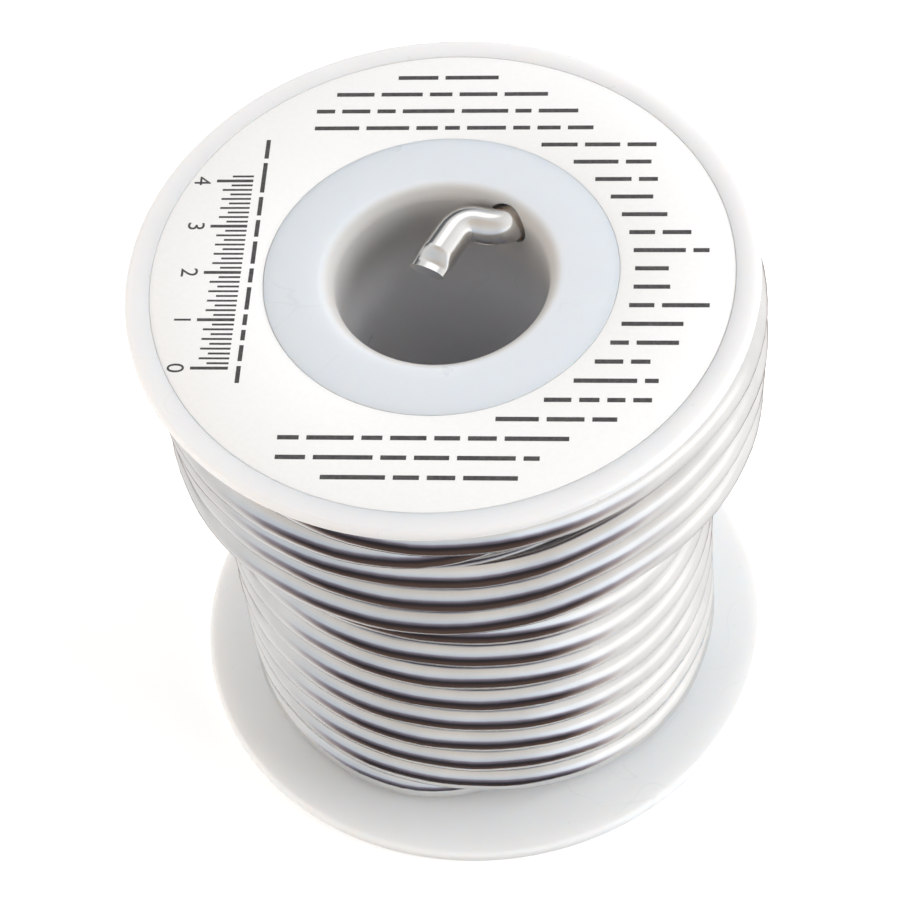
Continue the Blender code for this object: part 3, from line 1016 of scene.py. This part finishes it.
# %% Paper and ink materials
PAPER_TONES = (0.895, 0.895, 0.89), (0.925, 0.925, 0.92)
HANDLED_TONE, DUST_TONE = (0.88, 0.875, 0.865), (0.35, 0.3, 0.27)
INK_TONES = (0.028, 0.027, 0.03), (0.075, 0.072, 0.07)

paper = Finish("coated_label_paper")
fibres = paper.effect(uneven, Scale=2600.0, Detail=5.0)
handled = paper.effect(uneven, Scale=60.0, Detail=3.0, Low=0.0, High=0.35)
tone = paper.mix(handled, paper.mix(fibres, *PAPER_TONES), HANDLED_TONE)
dust = paper.effect(specks, Scale=210.0, Share=0.012, Size=0.07)
paper.set("Base Color", paper.mix(paper.product(dust, 0.6), tone, DUST_TONE))
paper.set("Roughness", paper.effect(uneven, Scale=400.0, Detail=4.0, Low=0.48, High=0.62))
cockle = paper.bump(paper.effect(uneven, Scale=110.0, Detail=1.0), 0.015 * MM)
paper.set("Normal", paper.bump(fibres, 0.0015 * MM, Normal=cockle))

ink = Finish("black_printing_ink")
soaked = ink.effect(uneven, Scale=3200.0, Detail=4.0)
ink.set("Base Color", ink.mix(soaked, *INK_TONES))
ink.set("Roughness", ink.effect(uneven, Scale=900.0, Detail=3.0, Low=0.38, High=0.6))
ink.set("Normal", ink.bump(soaked, 0.001 * MM))
print("paper:", len(paper.tree.nodes), "nodes; ink:", len(ink.tree.nodes), "nodes")

# %% [markdown]
# ## Bright solder
# Fresh tin-lead solder is pulled through a steel die, which leaves it mirror-bright with fine
# lines along its length. The lines follow the wire round every bend, so they read the wire's own
# UV map: one way runs along the wire, the other round it. Small dents come from the turns
# pressing on each other, and a thin haze of oxide dulls it in patches.

# %% Solder materials
BRIGHT_TONES = (0.80, 0.79, 0.775), (0.70, 0.695, 0.69)
BURIED_SHADED_TONES = (0.6, 0.59, 0.57), (0.5, 0.49, 0.47)
NICK_TONE = (0.42, 0.41, 0.4)
LINES_ROUND, LINES_ALONG = 900.0, 12.0


def solder(name, length, tones, low, high):
    """Bright drawn wire of this length in metres, so that its pattern keeps one real scale."""
    made = Finish(name)
    scale = (pi * WIRE_DIAMETER * LINES_ROUND, length * LINES_ALONG, 1.0)
    along = made.add("Mapping", {"Vector": made.places["UV"], "Scale": scale}).outputs[0]
    lines = made.effect(uneven, Vector=along, Scale=1.0, Detail=3.0)
    haze = made.effect(uneven, Scale=170.0, Detail=3.0)
    nicks = made.effect(scuffs, Scale=420.0, Thinness=0.006)
    tone = made.mix(made.product(nicks, 0.1), made.mix(haze, *tones), NICK_TONE)
    made.set("Base Color", tone)
    hazed = made.effect(uneven, Scale=240.0, Detail=4.0, Low=low, High=high)
    made.set("Roughness", made.maths("MULTIPLY_ADD", lines, 0.05, hazed))
    dents = made.bump(made.effect(uneven, Scale=330.0, Detail=1.0), 0.012 * MM)
    made.set("Normal", made.bump(lines, 0.0006 * MM, Normal=dents))
    made.set("Metallic", 1.0)
    return made


outer_solder = solder("bright_solder", length_of(outer_path), BRIGHT_TONES, 0.1, 0.19)
piled_solder = solder("bright_solder_piled", length_of(piled_path), BRIGHT_TONES, 0.1, 0.19)
stub_solder = solder("bright_solder_stub", length_of(stub_path), BRIGHT_TONES, 0.08, 0.15)
# Painted shade: the buried layers get darker tones than the bright wire, for the shade deep
# between the turns.
inner_shaded_solder = solder("buried_solder_shaded", 1.0, BURIED_SHADED_TONES, 0.2, 0.32)
print("solder:", len(outer_solder.tree.nodes), "nodes")

# %% [markdown]
# ## Dressing the pieces
# Each piece gets its material and takes the place of the plain body that it stands for. Nothing
# on the spool moves by itself, so every piece rides on the one body.

# %% Pieces, bodies and finishes
def dress(piece, finish, slot, *stands_for):
    piece.data.materials.clear()
    piece.data.materials.append(finish.material)
    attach(piece, "root")
    if stands_for:
        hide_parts(*stands_for)


dress(upper_half, plastic, "white_plastic", "upper_spool_half")
dress(lower_half, plastic, "white_plastic", "lower_spool_half")
dress(upper_paper, paper, "label_paper", "upper_label")
dress(lower_paper, paper, "label_paper", "lower_label")
dress(upper_print, ink, "label_paper")
dress(lower_print, ink, "label_paper")
dress(outer_turns, outer_solder, "solder", "solder_outer_winding")
dress(piled_turns, piled_solder, "solder", "solder_piled_turns")
dress(stub, stub_solder, "solder", "solder_start_tail")
for number_of_layer, piece in enumerate(inner_turns, start=1):
    dress(piece, inner_shaded_solder, "solder", "solder_layer_%d" % number_of_layer)

# %% [markdown]
# ## Floor
# The spool stands on a plain white sheet that runs off in all directions. Its colour is an
# ordinary white, and a little glow that lights nothing lifts it to the white of the
# surroundings, so the spool's own shadow stays on it. Metal mirrors the room in its place.

# %% Floor
FLOOR_LIFT = 0.38
FLOOR_SIZE = 8.0
FLOOR_DROP = 0.02 * MM
SHEET_TONES = (0.81, 0.81, 0.81), (0.825, 0.825, 0.825)

clear_selection()
bpy.ops.mesh.primitive_plane_add(size=FLOOR_SIZE, location=(0.0, 0.0, -FLOOR_DROP))
white_sheet = bpy.context.object
white_sheet.name = "white_sheet"
put_in_place(white_sheet)
sheet = Finish("white_paper_sheet")
grain = sheet.effect(uneven, Scale=300.0, Detail=4.0)
sheet.set("Base Color", sheet.mix(grain, *SHEET_TONES))
sheet.set("Roughness", 0.9)
sheet.set("Specular IOR Level", 0.1)
rays = sheet.add("LightPath").outputs
seen = sheet.maths("MAXIMUM", rays["Is Camera Ray"], rays["Is Glossy Ray"])
seen = sheet.maths("MAXIMUM", seen, rays["Is Transmission Ray"])
glow = sheet.add("Emission", {"Strength": sheet.product(seen, FLOOR_LIFT)})
both = sheet.add("AddShader", {0: sheet.shader.outputs[0], 1: glow.outputs[0]})
sheet.feed(sheet.tree.nodes["Material Output"], "Surface", both.outputs[0])
white_sheet.data.materials.append(sheet.material)
white_sheet.visible_glossy = False
print("floor lifted by", FLOOR_LIFT)

# %% [markdown]
# ## Light
# The light is that of a plain white studio. It comes from all round, weaker from above and from
# the dark room in front, and stronger from the right. Metal only shows what it mirrors, so the
# world has three faces, picked by the kind of ray: plain white for the eye, a room for metal to
# mirror, and a glow that lights the plastic. A glossy ray that has left a dull surface carries
# light, so it meets the glow. Each face is worked out from the direction of the ray alone.

# %% Directions in the room
world = bpy.data.worlds.new("studio")
bpy.context.scene.world = world
world.use_nodes = True
sky = Nodes(world.node_tree)
sky.tree.nodes.clear()
direction = sky.add("TexCoord").outputs["Generated"]
ray_x, ray_y, ray_z = sky.add("SeparateXYZ", {0: direction}).outputs
level_part = sky.maths("SQRT", sky.maths("SUBTRACT", 1.0001, sky.maths("POWER", ray_z, 2.0)))


def facing(angle):
    """1 for directions at this angle round the spool, falling to 0 a quarter turn away."""
    towards = around(angle, 1.0, 0.0)
    across = sky.total(sky.product(ray_x, towards.x), sky.product(ray_y, towards.y))
    return sky.maths("DIVIDE", across, level_part)


def near_angle(angle, start, end, low=0.0, high=1.0):
    """Goes from low to high while directions turn towards this angle."""
    return sky.ramp(facing(angle), start, end, low, high)


def by_height(start, end, low=0.0, high=1.0):
    """Goes from low to high while directions rise, or fall, from start to end."""
    return sky.ramp(ray_z, start, end, low, high)


print("directions:", len(sky.tree.nodes), "nodes")

# %% [markdown]
# The room that metal mirrors is nearly white: warm overhead, brighter at the right and behind at
# the left, a little darker in front at the left, and dark in one far corner. A bright sheet at
# the right draws the white line along that side of every turn, and the glow of the lamp above
# puts the highlight on top.

# %% The room that metal mirrors
ROOM_COLOUR, OVERHEAD_COLOUR = (0.94, 0.935, 0.93), (0.86, 0.79, 0.72)
SHEET_ANGLE = 58.0
FAR_CORNER_ANGLE = -150.0
LAMP_HEADING = Vector((0.12, 0.5, 0.86)).normalized()

warm_overhead = sky.product(by_height(0.5, 0.92), near_angle(-20.0, -0.4, 0.6))
room = sky.mix(warm_overhead, ROOM_COLOUR, OVERHEAD_COLOUR)
brightness = sky.total(
    sky.ramp(ray_x, 0.25, 0.95, 0.87, 1.19),
    near_angle(-130.0, 0.2, 0.9, 0.0, 0.1),
    near_angle(-62.0, 0.6, 0.95, 0.0, -0.09),
)
right_sheet = sky.product(
    near_angle(SHEET_ANGLE, 0.72, 0.97, 0.0, 0.3), by_height(-0.3, 0.1), by_height(0.52, 0.3)
)
near_lamp = sky.add("VectorMath", {0: direction, 1: LAMP_HEADING}, operation="DOT_PRODUCT")
lamp_glow = sky.ramp(near_lamp.outputs["Value"], 0.93, 0.985, 0.0, 0.7)
far_corner = sky.product(
    near_angle(FAR_CORNER_ANGLE, 0.55, 0.95, 0.0, 0.85), by_height(-0.25, 0.05),
    by_height(0.62, 0.4),
)
print("room:", len(sky.tree.nodes), "nodes")

# %% [markdown]
# The lens looks down past a dark room, so metal also mirrors a dark zone low in front, and one
# low behind. It is what draws the dark line under each turn. Its upper edge is a soft blue, its
# core is nearly black, and its lowest part is brown. Towards the sides the zone sinks and fades.

# %% The dark zone that metal mirrors
LENS_ANGLE = -14.0
ZONE_BLUE, ZONE_VIOLET, ZONE_BROWN = (0.8, 0.89, 1.0), (0.88, 0.79, 1.0), (1.0, 0.66, 0.56)

in_front = facing(LENS_ANGLE)
front_zone = sky.ramp(in_front, 0.24, 0.75, 0.0, 0.97)
back_zone = near_angle(180.0, 0.66, 0.94, 0.0, 0.9)
zone = sky.maths("MAXIMUM", front_zone, back_zone)
zone_height = sky.total(ray_z, sky.ramp(in_front, 0.95, 0.35, 0.0, 0.35))
soft_edge = sky.ramp(zone_height, 0.22, -0.03, 0.0, 0.76)
core = sky.ramp(zone_height, 0.0, -0.36, 0.0, 0.24)
dark = sky.product(zone, sky.total(soft_edge, core))
zone_edge = sky.mix(sky.ramp(zone_height, 0.2, 0.0), ZONE_BLUE, ZONE_VIOLET)
zone_colour = sky.mix(by_height(-0.3, -0.75), zone_edge, ZONE_BROWN)
mirror_colour = sky.mix(sky.product(zone, by_height(0.6, 0.15)), room, zone_colour)
darkest = by_height(-0.45, -0.85, 0.014, 0.085)
shade = sky.maths("MAXIMUM", dark, far_corner)
lit = sky.total(brightness, sky.product(shade, sky.maths("SUBTRACT", darkest, brightness)))
mirror_light = sky.total(lit, right_sheet, lamp_glow)
print("room and dark zone:", len(sky.tree.nodes), "nodes")

# %% [markdown]
# Now the three faces are put together, and the kind of ray picks one of them.

# %% The three faces of the world
WORLD_LIGHT, OVERHEAD_LIGHT = 1.56, 0.575
RIGHT_SHARE, FRONT_SHARE = 1.3, 0.25
LIGHT_COLOUR, EYE_COLOUR = (1.0, 0.985, 0.97, 1.0), (1.0, 1.0, 1.0, 1.0)

light_strength = sky.product(
    by_height(0.25, 0.85, WORLD_LIGHT, OVERHEAD_LIGHT),
    sky.ramp(ray_x, 0.1, 0.9, 1.0, RIGHT_SHARE),
    sky.ramp(ray_y, 0.0, -0.85, 1.0, FRONT_SHARE),
)
lighting, mirrored, backdrop = [
    sky.add("Background", {"Color": colour, "Strength": strength}).outputs[0]
    for colour, strength in (
        (LIGHT_COLOUR, light_strength), (mirror_colour, mirror_light), (EYE_COLOUR, 1.0)
    )
]
kinds = sky.add("LightPath").outputs
undimmed = sky.maths("LESS_THAN", kinds["Diffuse Depth"], 0.5)
mirroring = sky.product(kinds["Is Glossy Ray"], undimmed)
not_light = sky.maths("MAXIMUM", mirroring, kinds["Is Transmission Ray"])
light = sky.add("MixShader", {0: not_light, 1: lighting, 2: mirrored}).outputs[0]
seen = sky.add("MixShader", {0: kinds["Is Camera Ray"], 1: light, 2: backdrop}).outputs[0]
sky.add("OutputWorld", {"Surface": seen})
bpy.context.scene.view_settings.view_transform = "Standard"
print("world lights at", WORLD_LIGHT)

# %% [markdown]
# Three soft lamps help the world: a faint one above, a cool one at the right and a warm one low
# at the left, which brighten the rims. Metal doesn't mirror them, so they draw no squares on it.

# %% Lamps
SPOOL_MIDDLE = Vector((0.0, 0.0, SPOOL_HEIGHT / 2))
LAMPS = {
    "lamp_overhead": ((-0.05, 0.16, 0.5), (0.6, 0.5), 0.05, (0.9, 0.95, 1.0)),
    "lamp_right": ((0.45, -0.12, 0.22), (0.4, 0.3), 1.9, (0.93, 0.965, 1.0)),
    "lamp_left": ((-0.42, -0.25, 0.14), (0.3, 0.2), 1.05, (1.0, 0.88, 0.78)),
}

for name, (place, size, power, colour) in LAMPS.items():
    bpy.ops.object.light_add(type="AREA", location=place)
    lamp = bpy.context.object
    lamp.name = name
    lamp.data.shape = "RECTANGLE"
    lamp.data.size, lamp.data.size_y = size
    lamp.data.energy = power
    lamp.data.color = colour
    lamp.rotation_euler = (SPOOL_MIDDLE - Vector(place)).to_track_quat("-Z", "Y").to_euler()
    lamp.visible_glossy = False
